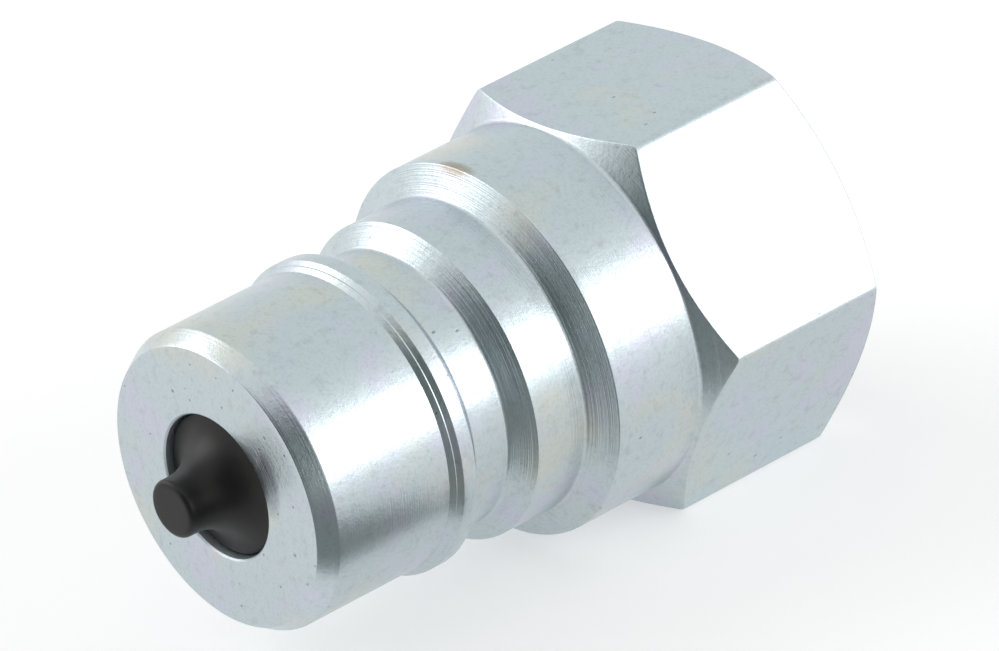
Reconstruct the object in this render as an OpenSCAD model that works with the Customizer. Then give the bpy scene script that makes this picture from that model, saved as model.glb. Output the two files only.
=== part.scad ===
// Male half of a quick coupling for a liquid line, with a poppet valve that
// shuts when the halves part. The body is turned from one hexagon bar. Its
// nose enters the other half, the valve's pip is pushed back there, and the
// line screws into the port at the hexagon end.
// The coupling axis is X: the nose face lies at x = 0 and the port faces +X.

/* [Nose] */
// Diameter of the nose cylinder
nose_d = 17.3; // [14.5:0.1:20.8]
// Length of the nose from its face to the first step
nose_len = 8.76; // [7.3:0.01:11]
// Radial width of the chamfer round the nose face
nose_chamfer_r = 0.62; // [0.3:0.01:1]
// Length of that chamfer along the axis
nose_chamfer_len = 1.07; // [0.5:0.01:2]
// Radial rise of each of the two small steps behind the nose
step_rise = 0.22; // [0.1:0.01:0.4]
// Length of each step's cone
step_len = 0.28; // [0.1:0.01:0.6]
// Length of the thin land between the two steps
step_land = 0.07; // [0.04:0.01:0.3]
// Length of the ring that the locking balls drop behind
ring_len = 0.9; // [0.5:0.01:2]

/* [Locking groove] */
// Length of the slope that falls from the ring to the neck
ring_back_len = 0.8; // [0.4:0.01:1.5]
// Depth of the neck below the nose cylinder
neck_drop = 0.62; // [0.4:0.01:0.9]
// Length of the neck from slope to cone
neck_len = 2.38; // [1.5:0.01:4]
// Radius of the hollow at each end of the neck
neck_fillet = 0.35; // [0.1:0.01:0.6]
// Length of the cone that rises out of the groove
collar_cone_len = 1.1; // [0.8:0.01:1.8]

/* [Collar and barrel] */
// Height of the collar above the nose cylinder
collar_rise = 0.55; // [0.3:0.01:0.8]
// Length of the collar cylinder
collar_len = 3.46; // [2.5:0.01:5]
// Length of the shoulder between collar and barrel
shoulder_len = 0.93; // [0.6:0.01:1.5]
// Radius of the hollow at the foot of the shoulder
shoulder_fillet = 0.45; // [0.1:0.01:0.6]
// Width of the broken edge at the head of the shoulder
shoulder_break = 0.12; // [0.05:0.01:0.3]
// Length of the barrel
barrel_len = 5.8; // [4.9:0.01:8]

/* [Hexagon] */
// Width of the hexagon across its flats
hex_af = 22; // [21:0.1:27]
// Depth of the barrel below the flats
barrel_drop = 0.2; // [0.05:0.01:0.4]
// Length from the barrel to the end face
hex_len = 12.54; // [10.5:0.01:16]
// Slope of the chamfer at the front of the hexagon, from the end plane
hex_front_angle = 35; // [20:1:45]
// Slope of the chamfer at the back of the hexagon, from the end plane
hex_back_angle = 30; // [15:1:40]
// Depth of the end face's edge below the flats
hex_back_drop = 0.3; // [0.1:0.01:0.8]
// How much the corners of the bar are rounded off, measured on the diameter
hex_corner_loss = 0.14; // [0.05:0.01:0.5]

/* [Waterway] */
// Diameter of the throat in the nose
throat_d = 8.3; // [6.9:0.1:10]
// Length of the throat
throat_len = 1.3; // [1:0.01:2]
// Broken edge at the mouth of the throat
throat_break = 0.1; // [0.05:0.01:0.2]
// Width of the waterway round the seal ring, on the radius
flow_gap = 0.85; // [0.5:0.01:1.1]
// Step outwards from the chamber to the seat of the valve guide
guide_step = 1; // [0.8:0.1:1.3]

/* [Port] */
// Minor diameter of the port's thread, here a 3/8 inch pipe thread
port_d = 14.95; // [14.5:0.01:18]
// Length of the thread
port_len = 12; // [10:0.1:14]
// Diameter of the undercut at the foot of the thread
port_relief_d = 17; // [16.8:0.1:19]
// Length of that undercut
port_relief_len = 2; // [1:0.1:3]
// Diameter of the countersink at the port's mouth
port_mouth_d = 17.2; // [16.8:0.1:19]
// Length of the land between that undercut and the snap ring's groove
port_land = 1.6; // [1:0.1:2]

/* [Poppet] */
// Diameter of the pip at the front of the poppet
pip_d = 3.32; // [2.7:0.01:4]
// How far the pip stands out of the nose face
pip_out = 3.1; // [2.5:0.1:3.8]
// Length of the pip's straight part
pip_len = 0.8; // [0.4:0.1:1.5]
// Radius round the pip's front edge
pip_edge = 0.3; // [0.1:0.01:0.5]
// Depth of the poppet's rim below the nose face
rim_depth = 0.5; // [0.2:0.01:1]
// Clearance between the rim and the throat, on the radius
rim_clear = 0.12; // [0.05:0.01:0.3]
// Clearance between the poppet's lip and the seat cone, along the axis
lip_clear = 0.05; // [0.03:0.01:0.1]
// Length of the lip in front of the seal ring
lip_len = 0.62; // [0.4:0.01:0.8]
// Length of the flange behind the seal ring
flange_len = 1.2; // [0.9:0.1:1.6]
// Depth of the flange below the outside of the seal ring
flange_drop = 0.35; // [0.2:0.01:0.6]
// Length of the pilot that centres the spring on the flange
pilot_len = 1.3; // [0.8:0.1:1.8]
// Diameter of the poppet's stem
stem_d = 3.2; // [2.6:0.1:3.9]
// Diameter of the stop on the stem
stop_d = 5; // [4.4:0.1:5.6]
// How far the poppet slides back in use
poppet_travel = 3.6; // [3:0.1:4.2]
// What is left between stop and guide at the end of that travel
stop_clear = 0.1; // [0.05:0.01:0.3]
// How far the stem stands out behind the guide with the valve shut
stem_past = 0.6; // [0.2:0.1:2]
// Chamfer at the end of the stem
stem_chamfer = 0.3; // [0.1:0.1:0.6]

/* [Seal] */
// Thickness of the seal ring
seal_wire_d = 1.5; // [1.2:0.05:1.7]
// Clearance between the seal ring and its seat
seal_clear = 0.03; // [0.02:0.01:0.1]
// Play of the seal ring in its groove, to each side
seal_play = 0.03; // [0.02:0.01:0.1]

/* [Spring] */
// Thickness of the spring wire
spring_wire_d = 0.9; // [0.7:0.05:1]
// Play between the coils and the guide's hub, on the radius
hub_play = 0.65; // [0.3:0.05:0.9]
// Play between the coils and the poppet's pilot, on the radius
pilot_play = 0.35; // [0.2:0.05:0.6]
// Number of working coils
spring_coils = 5; // [3:0.5:6]
// Gap between the two turns that lie closed at each end
coil_gap = 0.04; // [0.02:0.01:0.2]
// Clearance at each end of the spring
spring_clear = 0.05; // [0.02:0.01:0.2]

/* [Guide] */
// Thickness of the guide's rim
guide_rim_len = 2.4; // [2:0.1:3]
// Radial width of that rim
guide_rim_w = 1.25; // [1:0.05:1.6]
// Outside diameter of the hub that the stem runs in
guide_hub_d = 5.8; // [5.2:0.1:6.4]
// How far the hub reaches past the rim, to the back
guide_hub_back = 1.6; // [0.5:0.1:2.5]
// How far the hub reaches into the spring
guide_hub_front = 1.2; // [0.6:0.1:2]
// Number of arms between hub and rim
guide_arms = 3; // [3:1:5]
// Width of an arm
guide_arm_w = 1.6; // [1.2:0.1:2]
// Running clearance of the stem in the hub, on the radius
stem_clear = 0.06; // [0.03:0.01:0.1]
// Chamfer round the rim's edges
guide_chamfer = 0.3; // [0.1:0.05:0.5]
// Clearance of the guide in its seat, on the radius
guide_clear = 0.05; // [0.02:0.01:0.1]

/* [Snap ring] */
// Thickness of the snap ring's wire
snap_wire_d = 1.2; // [1:0.05:1.5]
// Clearance of the snap ring in its groove
snap_clear = 0.05; // [0.02:0.01:0.1]
// Opening of the snap ring, in degrees
snap_gap = 40; // [20:1:70]

/* [Hidden] */

$fn = 96;
eps = 0.01;

// Radii of the turned outside
nose_r = nose_d / 2;
face_r = nose_r - nose_chamfer_r;
ring_r = nose_r + 2 * step_rise;
neck_r = nose_r - neck_drop;
collar_r = nose_r + collar_rise;
flat_r = hex_af / 2;
corner_r = flat_r / cos(30);
barrel_r = flat_r - barrel_drop;
end_r = flat_r - hex_back_drop;

// Stations along the outside
land_x = nose_len + step_len;
step2_x = land_x + step_land;
ring_x = step2_x + step_len;
ring_end_x = ring_x + ring_len;
neck_x = ring_end_x + ring_back_len;
cone_x = neck_x + neck_len;
collar_x = cone_x + collar_cone_len;
shoulder_x = collar_x + collar_len;
barrel_x = shoulder_x + shoulder_len;
hex_x = barrel_x + barrel_len;
end_x = hex_x + hex_len;

// Stations along the waterway. The seat is a 45 degree cone that the seal ring
// touches all but for its clearance, and the ring's centre is found from that.
throat_r = throat_d / 2;
lip_x = throat_len + lip_clear;
groove_x = lip_x + lip_len;
seal_x = groove_x + seal_play + seal_wire_d / 2;
groove_end_x = seal_x + seal_wire_d / 2 + seal_play;
seal_r = seal_x + throat_r - throat_len - (seal_wire_d / 2 + seal_clear) * sqrt(2);
chamber_r = seal_r + seal_wire_d / 2 + flow_gap;
seat_end_x = throat_len + chamber_r - throat_r;
port_r = port_d / 2;
thread_x = end_x - port_len;
relief_x = thread_x - port_relief_len;
relief_r = port_relief_d / 2;
guide_bore_r = chamber_r + guide_step;
snap_groove_r = snap_wire_d / 2 + snap_clear;
snap_ring_r = guide_bore_r - snap_clear;
snap_x = relief_x - port_land - snap_groove_r;
guide_back_x = snap_x - snap_wire_d / 2 - snap_clear;
guide_x = guide_back_x - guide_rim_len;

// Poppet
pip_r = pip_d / 2;
stem_r = stem_d / 2;
rim_r = throat_r - rim_clear;
groove_r = seal_r - seal_wire_d / 2 - seal_play;
flange_x = groove_end_x + flange_len;
flange_r = seal_r + seal_wire_d / 2 - flange_drop;
spring_r = guide_hub_d / 2 + hub_play + spring_wire_d / 2;
pilot_r = spring_r - spring_wire_d / 2 - pilot_play;
guide_hub_x = guide_x - guide_hub_front;
stop_end_x = guide_hub_x - poppet_travel - stop_clear;
stem_end_x = guide_back_x + guide_hub_back + stem_past;

// Spring
spring_x0 = flange_x + spring_clear + spring_wire_d / 2;
spring_x1 = guide_x - spring_clear - spring_wire_d / 2;
closed_pitch = spring_wire_d + coil_gap;
wire_sides = 10;
coil_steps = 24;

// Outlines are points of [radius, x], which is how rotate_extrude takes them.
// The hollow of radius r in the corner at b, between a and c: where it begins,
// where it ends, and its centre
function hollow(a, b, c, r) =
    let (u = (a - b) / norm(a - b), v = (c - b) / norm(c - b),
         half = acos(u * v) / 2, run = r / tan(half))
    [b + run * u, b + run * v, b + r / sin(half) * (u + v) / norm(u + v)];

// Turns the flat shape below it about the X axis
module turned() {
    rotate([0, 90, 0]) rotate([0, 0, 180]) rotate_extrude() children();
}

// The turned outside, from the nose face to the barrel's end
module outside() {
    ring_end = [ring_r, ring_end_x];
    neck = [neck_r, neck_x];
    cone = [neck_r, cone_x];
    collar = [collar_r, collar_x];
    shoulder = [collar_r, shoulder_x];
    barrel = [barrel_r - shoulder_break, barrel_x - shoulder_break / 2];
    hollows = [
        hollow(ring_end, neck, cone, neck_fillet),
        hollow(neck, cone, collar, neck_fillet),
        hollow(collar, shoulder, barrel, shoulder_fillet),
    ];
    turned() difference() {
        polygon([
            [0, 0], [face_r, 0], [nose_r, nose_chamfer_len], [nose_r, nose_len],
            [nose_r + step_rise, land_x], [nose_r + step_rise, step2_x],
            [ring_r, ring_x], ring_end, hollows[0][0], hollows[0][1],
            hollows[1][0], hollows[1][1], collar, hollows[2][0], hollows[2][1],
            barrel, [barrel_r, barrel_x], [barrel_r, hex_x + 1], [0, hex_x + 1],
        ]);
        translate(hollows[0][2]) circle(r = neck_fillet);
        translate(hollows[1][2]) circle(r = neck_fillet);
        translate(hollows[2][2]) circle(r = shoulder_fillet);
    }
}

// The hexagon, chamfered by a cone at each end and with its corners eased
module hexagon() {
    front_rise = (corner_r - barrel_r) * tan(hex_front_angle);
    back_rise = (corner_r - end_r) * tan(hex_back_angle);
    intersection() {
        translate([hex_x, 0, 0]) rotate([0, 90, 0])
            rotate([0, 0, 30]) cylinder(r = corner_r, h = hex_len, $fn = 6);
        turned() polygon([
            [0, hex_x], [barrel_r, hex_x], [corner_r, hex_x + front_rise],
            [corner_r, end_x - back_rise], [end_r, end_x], [0, end_x],
        ]);
        translate([hex_x, 0, 0]) rotate([0, 90, 0])
            cylinder(r = corner_r - hex_corner_loss / 2, h = hex_len);
    }
}

// Everything that is bored out of the body
module waterway() {
    mouth_r = port_mouth_d / 2;
    turned() polygon([
        [0, -1], [throat_r + throat_break, -1], [throat_r + throat_break, 0],
        [throat_r, throat_break], [throat_r, throat_len], [chamber_r, seat_end_x],
        [chamber_r, guide_x], [guide_bore_r, guide_x], [guide_bore_r, relief_x],
        [relief_r, relief_x], [relief_r, thread_x], [port_r, thread_x],
        [port_r, end_x + port_r - mouth_r], [mouth_r, end_x], [mouth_r, end_x + 1],
        [0, end_x + 1],
    ]);
    translate([snap_x, 0, 0]) rotate([0, 90, 0])
        rotate_extrude() translate([snap_ring_r, 0]) circle(r = snap_groove_r);
}

module body() {
    color("LightSteelBlue") difference() {
        union() {
            outside();
            hexagon();
        }
        waterway();
    }
}

// The poppet is turned in one piece: pip, flare, seal groove, flange and stem
module poppet() {
    flare_x = pip_len - pip_out;
    run = rim_depth - flare_x;
    rise = rim_r - pip_r;
    flare_r = (run * run + rise * rise) / (2 * rise);
    color("DimGray") turned() {
        difference() {
            polygon([
                [0, -pip_out + pip_edge], [pip_r, -pip_out + pip_edge], [pip_r, flare_x],
                [rim_r, flare_x], [rim_r, lip_x],
                [rim_r + groove_x - lip_x, groove_x], [groove_r, groove_x],
                [groove_r, groove_end_x], [flange_r, groove_end_x], [flange_r, flange_x],
                [pilot_r, flange_x], [pilot_r, flange_x + pilot_len],
                [stop_d / 2, flange_x + pilot_len], [stop_d / 2, stop_end_x],
                [stem_r, stop_end_x], [stem_r, stem_end_x - stem_chamfer],
                [stem_r - stem_chamfer, stem_end_x], [0, stem_end_x],
            ]);
            flare_cut(flare_x, flare_r);
        }
        pip_front();
    }
}

// What is hollowed out round the pip to leave the flare
module flare_cut(flare_x, flare_r) {
    intersection() {
        translate([pip_r + flare_r, flare_x]) circle(r = flare_r);
        translate([pip_r, flare_x - eps]) square([rim_r - pip_r + eps, rim_depth - flare_x + eps]);
    }
}

// The pip's front, with its rounded edge
module pip_front() {
    intersection() {
        union() {
            translate([pip_r - pip_edge, pip_edge - pip_out]) circle(r = pip_edge);
            translate([0, -pip_out]) square([pip_r - pip_edge, pip_edge]);
        }
        translate([0, -pip_out]) square([pip_r, pip_edge]);
    }
}

module poppet_seal() {
    color("Black") turned() translate([seal_r, seal_x]) circle(d = seal_wire_d);
}

// Where the coil is after so many turns: one turn lies closed at each end
function coil_x(turn) =
    let (pitch = (spring_x1 - spring_x0 - 2 * closed_pitch) / spring_coils)
    turn < 1 ? spring_x0 + closed_pitch * turn :
    turn > spring_coils + 1 ? spring_x1 - closed_pitch * (spring_coils + 2 - turn) :
    spring_x0 + closed_pitch + pitch * (turn - 1);

// A point of the wire's skin, the wire lying square to the axis
function wire_point(turn, side) =
    let (a = turn * 360, b = side * 360 / wire_sides,
         r = spring_r + spring_wire_d / 2 * cos(b))
    [coil_x(turn) + spring_wire_d / 2 * sin(b), r * cos(a), r * sin(a)];

module valve_spring() {
    turns = spring_coils + 2;
    rows = turns * coil_steps;
    n = wire_sides;
    points = [for (i = [0:rows], k = [0:n - 1]) wire_point(i / coil_steps, k)];
    sides = [for (i = [0:rows - 1], k = [0:n - 1])
        let (a = i * n + k, b = i * n + (k + 1) % n) [a, b, b + n, a + n]];
    first = [for (k = [0:n - 1]) n - 1 - k];
    last = [for (k = [0:n - 1]) rows * n + k];
    color("Silver") polyhedron(points, concat([first], sides, [last]), convexity = 10);
}

// The guide: a rim that seats in the body, arms, and a hub for the stem
module valve_guide() {
    rim_out = guide_bore_r - guide_clear;
    rim_in = rim_out - guide_rim_w;
    hub_len = guide_back_x + guide_hub_back - guide_hub_x;
    color("Goldenrod") difference() {
        union() {
            turned() polygon([
                [rim_in, guide_x], [rim_out - guide_chamfer, guide_x],
                [rim_out, guide_x + guide_chamfer], [rim_out, guide_back_x - guide_chamfer],
                [rim_out - guide_chamfer, guide_back_x], [rim_in, guide_back_x],
            ]);
            for (i = [0:guide_arms - 1])
                rotate([i * 360 / guide_arms, 0, 0])
                    translate([guide_x, -guide_arm_w / 2, 0])
                        cube([guide_rim_len, guide_arm_w, rim_in + guide_rim_w / 2]);
            translate([guide_hub_x, 0, 0]) rotate([0, 90, 0])
                cylinder(d = guide_hub_d, h = hub_len);
        }
        translate([guide_hub_x - 1, 0, 0]) rotate([0, 90, 0])
            cylinder(r = stem_r + stem_clear, h = hub_len + 2);
    }
}

module snap_ring() {
    color("Gray") translate([snap_x, 0, 0]) rotate([0, 90, 0])
        rotate([0, 0, snap_gap / 2])
            rotate_extrude(angle = 360 - snap_gap)
                translate([snap_ring_r, 0]) circle(d = snap_wire_d);
}

body();
poppet();
poppet_seal();
valve_spring();
valve_guide();
snap_ring();
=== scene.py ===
"""Looks of the male half of a quick coupling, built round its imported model.

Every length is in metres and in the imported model's frame: the coupling axis is X, the
nose face lies at x = 0 and the port faces +X. Outlines are turned about that axis.
"""

import logging
import math
from dataclasses import dataclass, field
from enum import Enum
from typing import Any, Callable, Sequence

import bpy
import numpy as np
from mathutils import Matrix, Vector


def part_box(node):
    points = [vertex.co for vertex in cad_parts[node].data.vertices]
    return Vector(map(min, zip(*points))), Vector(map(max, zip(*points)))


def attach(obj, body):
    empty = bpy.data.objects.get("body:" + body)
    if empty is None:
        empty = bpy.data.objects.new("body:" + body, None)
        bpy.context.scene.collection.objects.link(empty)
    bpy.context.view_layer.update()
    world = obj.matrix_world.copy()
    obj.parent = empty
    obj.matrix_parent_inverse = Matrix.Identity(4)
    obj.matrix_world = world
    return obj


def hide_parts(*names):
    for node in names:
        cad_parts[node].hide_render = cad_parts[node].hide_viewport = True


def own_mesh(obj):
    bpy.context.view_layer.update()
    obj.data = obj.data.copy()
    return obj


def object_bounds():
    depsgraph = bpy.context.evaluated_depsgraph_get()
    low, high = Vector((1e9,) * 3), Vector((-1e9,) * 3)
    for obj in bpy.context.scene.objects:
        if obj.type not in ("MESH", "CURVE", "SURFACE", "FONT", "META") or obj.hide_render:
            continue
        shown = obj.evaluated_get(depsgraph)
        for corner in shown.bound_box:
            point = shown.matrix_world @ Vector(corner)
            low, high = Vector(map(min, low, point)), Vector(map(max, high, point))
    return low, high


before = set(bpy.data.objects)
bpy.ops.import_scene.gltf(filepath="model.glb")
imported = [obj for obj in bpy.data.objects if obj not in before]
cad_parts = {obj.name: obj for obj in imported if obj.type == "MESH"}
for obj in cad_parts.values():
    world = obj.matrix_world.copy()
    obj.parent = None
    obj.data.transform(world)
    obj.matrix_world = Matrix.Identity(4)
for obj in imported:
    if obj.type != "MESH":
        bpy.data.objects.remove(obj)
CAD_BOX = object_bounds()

MM = 0.001
LOG = logging.getLogger("coupling")
Array = np.ndarray
Material = bpy.types.Material
Tone = tuple[float, float, float]
ROUND_SHARE = 0.45


class Ride(Enum):
    """The bodies that pieces ride on."""

    HOUSING = "housing"
    VALVE = "valve"


class Slot(Enum):
    """The record's material slots."""

    ZINC = "zinc_steel"
    BLACK = "poppet_black"
    RUBBER = "seal_rubber"
    WIRE = "spring_steel"


# Meshes


def smoothstep(value: Array, low: float, high: float) -> Array:
    """A smooth climb from 0 to 1: 3t^2 - 2t^3 of the clamped share t.

    Args:
        value: Where it is wanted.
        low: The value that gives 0.
        high: The value that gives 1.

    Returns:
        The climb at each value.
    """
    share = np.clip((value - low) / (high - low), 0.0, 1.0)
    return share * share * (3.0 - 2.0 * share)


@dataclass
class Corner:
    """A corner of a turned outline.

    Attributes:
        x: Station along the axis, a number or one value for each column.
        r: Radius there, a number or one value for each column.
        round_r: Radius of the rounding, 0 for a sharp corner.
        steps: Number of spans in the rounding.
        spans: Number of spans in the straight run that follows.
        finish: Values of the finish attributes on that run.
    """

    x: Any
    r: Any
    round_r: float = 0.0
    steps: int = 4
    spans: int = 1
    finish: dict[str, float] = field(default_factory=dict)


@dataclass
class Sweep:
    """Rows of a surface: stations, radii and named values, each as (rows, columns)."""

    x: Array
    r: Array
    values: dict[str, Array]


def trace(
    corners: Sequence[Corner], columns: int, names: Sequence[str], closed: bool = True
) -> Sweep:
    """Follows an outline, rounding its corners.

    The rounding at corner b between a and c is the circle that touches both runs: its
    centre lies on the bisector of the angle at b, round_r / sin(half angle) away, and it
    touches the runs at round_r / tan(half angle) from b. Each rounding may take up to
    ROUND_SHARE of the shorter run beside it.

    Args:
        corners: The outline's corners in order.
        columns: Number of columns of the surface.
        names: Finish attributes to carry along.
        closed: Whether the last corner joins the first.

    Returns:
        The rows of the surface.
    """
    count = len(corners)
    points = np.stack(
        [
            np.stack([np.broadcast_to(c.x, columns), np.broadcast_to(c.r, columns)], -1)
            for c in corners
        ]
    ).astype(float)
    rows: list[Array] = []
    marks: list[dict[str, float]] = []
    ends: list[Array] = []
    for i, corner in enumerate(corners):
        here = points[i]
        back = points[i - 1] - here
        ahead = points[(i + 1) % count] - here
        back_len = np.linalg.norm(back, axis=-1, keepdims=True)
        ahead_len = np.linalg.norm(ahead, axis=-1, keepdims=True)
        back, ahead = back / back_len, ahead / ahead_len
        before = corners[i - 1].finish
        after = corner.finish
        if corner.round_r <= 0:
            rows.append(here)
            marks.append(after)
            ends.append(here)
        else:
            half = np.arccos(np.clip((back * ahead).sum(-1, keepdims=True), -1, 1)) / 2
            run = np.minimum(
                corner.round_r / np.tan(half), ROUND_SHARE * np.minimum(back_len, ahead_len)
            )
            radius = run * np.tan(half)
            middle = back + ahead
            middle = middle / np.maximum(np.linalg.norm(middle, axis=-1, keepdims=True), 1e-12)
            centre = here + radius / np.sin(half) * middle
            first = here + run * back - centre
            last = here + run * ahead - centre
            turn = math.pi - 2 * half
            for k in range(corner.steps + 1):
                share = k / corner.steps
                lean = (
                    np.sin((1 - share) * turn) * first + np.sin(share * turn) * last
                ) / np.sin(turn)
                rows.append(centre + lean)
                marks.append(
                    {n: (1 - share) * before.get(n, 0.0) + share * after.get(n, 0.0) for n in names}
                )
            ends.append(rows[-1])
    starts = row_spans(corners)
    full: list[Array] = []
    full_marks: list[dict[str, float]] = []
    for i, corner in enumerate(corners):
        low, high = starts[i]
        full.extend(rows[low:high])
        full_marks.extend(marks[low:high])
        following = rows[starts[(i + 1) % count][0]]
        spans = corner.spans if closed or i < count - 1 else 1
        for k in range(1, spans):
            share = k / corner.spans
            full.append((1 - share) * ends[i] + share * following)
            full_marks.append(corner.finish)
    surface = np.stack(full)
    values = {
        n: np.broadcast_to(
            np.array([m.get(n, 0.0) for m in full_marks])[:, None], surface.shape[:2]
        )
        for n in names
    }
    return Sweep(surface[..., 0], surface[..., 1], values)


def row_spans(corners: Sequence[Corner]) -> list[tuple[int, int]]:
    """Where each corner's rounding lies among the rows.

    Args:
        corners: The outline's corners.

    Returns:
        For each corner its first row and the row after its last.
    """
    sizes = [corner.steps + 1 if corner.round_r > 0 else 1 for corner in corners]
    ends = np.cumsum(sizes)
    return [(int(end) - size, int(end)) for end, size in zip(ends, sizes)]


def grid_faces(rows: int, columns: int, close_rows: bool) -> Array:
    """Quads of a grid that closes round its columns.

    Args:
        rows: Number of rows.
        columns: Number of columns.
        close_rows: Whether the last row joins the first.

    Returns:
        (count, 4) numbers of points.
    """
    last = rows if close_rows else rows - 1
    row, col = np.meshgrid(np.arange(last), np.arange(columns), indexing="ij")
    below, right = (row + 1) % rows, (col + 1) % columns
    corners = ((row, col), (row, right), (below, right), (below, col))
    return np.stack([r * columns + c for r, c in corners], -1).reshape(-1, 4)


def capped_faces(rows: int, columns: int) -> list[Array]:
    """Faces of a grid whose ends close in fans.

    Args:
        rows: Number of rows.
        columns: Number of columns.

    Returns:
        Quads, and triangles to the point that follows the grid's own at the front and to
        the one after it at the back.
    """
    front = rows * columns
    col = np.arange(columns)
    right = (col + 1) % columns
    foot = front - columns
    fans = [
        np.stack([np.full(columns, front), right, col], -1),
        np.stack([foot + col, foot + right, np.full(columns, front + 1)], -1),
    ]
    return [grid_faces(rows, columns, close_rows=False), np.concatenate(fans)]


@dataclass
class Piece:
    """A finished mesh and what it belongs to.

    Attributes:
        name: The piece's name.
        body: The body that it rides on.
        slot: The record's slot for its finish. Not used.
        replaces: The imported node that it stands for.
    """

    name: str
    body: Ride
    slot: Slot
    replaces: str

    def build(
        self,
        points: Array,
        faces: Sequence[Array],
        values: dict[str, Array],
        material: Material,
    ) -> bpy.types.Object:
        """Puts arrays of points and faces into a mesh, dresses it and lets it ride.

        Args:
            points: (count, 3) positions in metres.
            faces: Arrays of faces, each array with one number of corners.
            values: A value at each point for every named attribute.
            material: The finish.

        Returns:
            The new object.
        """
        mesh = bpy.data.meshes.new(self.name)
        sizes = np.concatenate([np.full(len(f), f.shape[1]) for f in faces])
        loops = np.concatenate([f.ravel() for f in faces])
        mesh.vertices.add(len(points))
        mesh.vertices.foreach_set("co", points.astype(np.float32).ravel())
        mesh.loops.add(len(loops))
        mesh.loops.foreach_set("vertex_index", loops.astype(np.int32))
        mesh.polygons.add(len(sizes))
        starts = np.concatenate([[0], np.cumsum(sizes)[:-1]])
        mesh.polygons.foreach_set("loop_start", starts.astype(np.int32))
        mesh.update(calc_edges=True)
        mesh.validate()
        mesh.polygons.foreach_set("use_smooth", np.ones(len(mesh.polygons), bool))
        for name, data in values.items():
            layer = mesh.attributes.new(name, "FLOAT", "POINT")
            layer.data.foreach_set("value", data.astype(np.float32).ravel())
        mesh.materials.append(material)
        obj = bpy.data.objects.new(self.name, mesh)
        bpy.context.scene.collection.objects.link(obj)
        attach(obj, self.body.value)
        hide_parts(self.replaces)
        LOG.info("%s: %d points, %d faces", self.name, len(points), len(sizes))
        return obj


def full_turn(columns: int) -> Array:
    """Evenly spaced angles round the axis."""
    return np.linspace(0, 2 * math.pi, columns, endpoint=False)


def turn_points(sweep: Sweep, angles: Array) -> Array:
    """Points of a turned surface: (x, r cos angle, r sin angle) for each row and column."""
    turned = [sweep.x, sweep.r * np.cos(angles), sweep.r * np.sin(angles)]
    return np.stack(turned, -1).reshape(-1, 3)


# Shader expressions


def operator(kind: str) -> tuple[Callable[..., "Value"], Callable[..., "Value"]]:
    """An operator of Value and its reflected form.

    Args:
        kind: The Math node's operation.

    Returns:
        The methods for value and other, and for other and value.
    """

    def plain(self: "Value", other: Any) -> "Value":
        """The operation on self and other."""
        return self._math(kind, self, other)

    def reflected(self: "Value", other: Any) -> "Value":
        """The operation on other and self."""
        return self._math(kind, other, self)

    return plain, reflected


class Value:
    """A socket in a node tree, with the usual operators as Math nodes."""

    def __init__(self, graph: "Graph", socket: bpy.types.NodeSocket) -> None:
        """Keeps the graph and the socket."""
        self.graph = graph
        self.socket = socket

    def _math(self, operation: str, *terms: Any) -> "Value":
        """One Math node on these terms."""
        node = self.graph.node("ShaderNodeMath", {"operation": operation}, dict(enumerate(terms)))
        return Value(self.graph, node.outputs[0])

    __add__, __radd__ = operator("ADD")
    __sub__, __rsub__ = operator("SUBTRACT")
    __mul__, __rmul__ = operator("MULTIPLY")
    __truediv__, __rtruediv__ = operator("DIVIDE")
    __pow__, __rpow__ = operator("POWER")

    def least(self, other: Any) -> "Value":
        """The smaller of self and other."""
        return self._math("MINIMUM", self, other)

    def most(self, other: Any) -> "Value":
        """The larger of self and other."""
        return self._math("MAXIMUM", self, other)

    def climb(self, low: float, high: float) -> "Value":
        """0 at low and 1 at high, smooth between and flat beyond."""
        node = self.graph.node(
            "ShaderNodeMapRange",
            {"interpolation_type": "SMOOTHSTEP", "clamp": True},
            {"Value": self, "From Min": low, "From Max": high, "To Min": 0.0, "To Max": 1.0},
        )
        return Value(self.graph, node.outputs[0])


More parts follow.
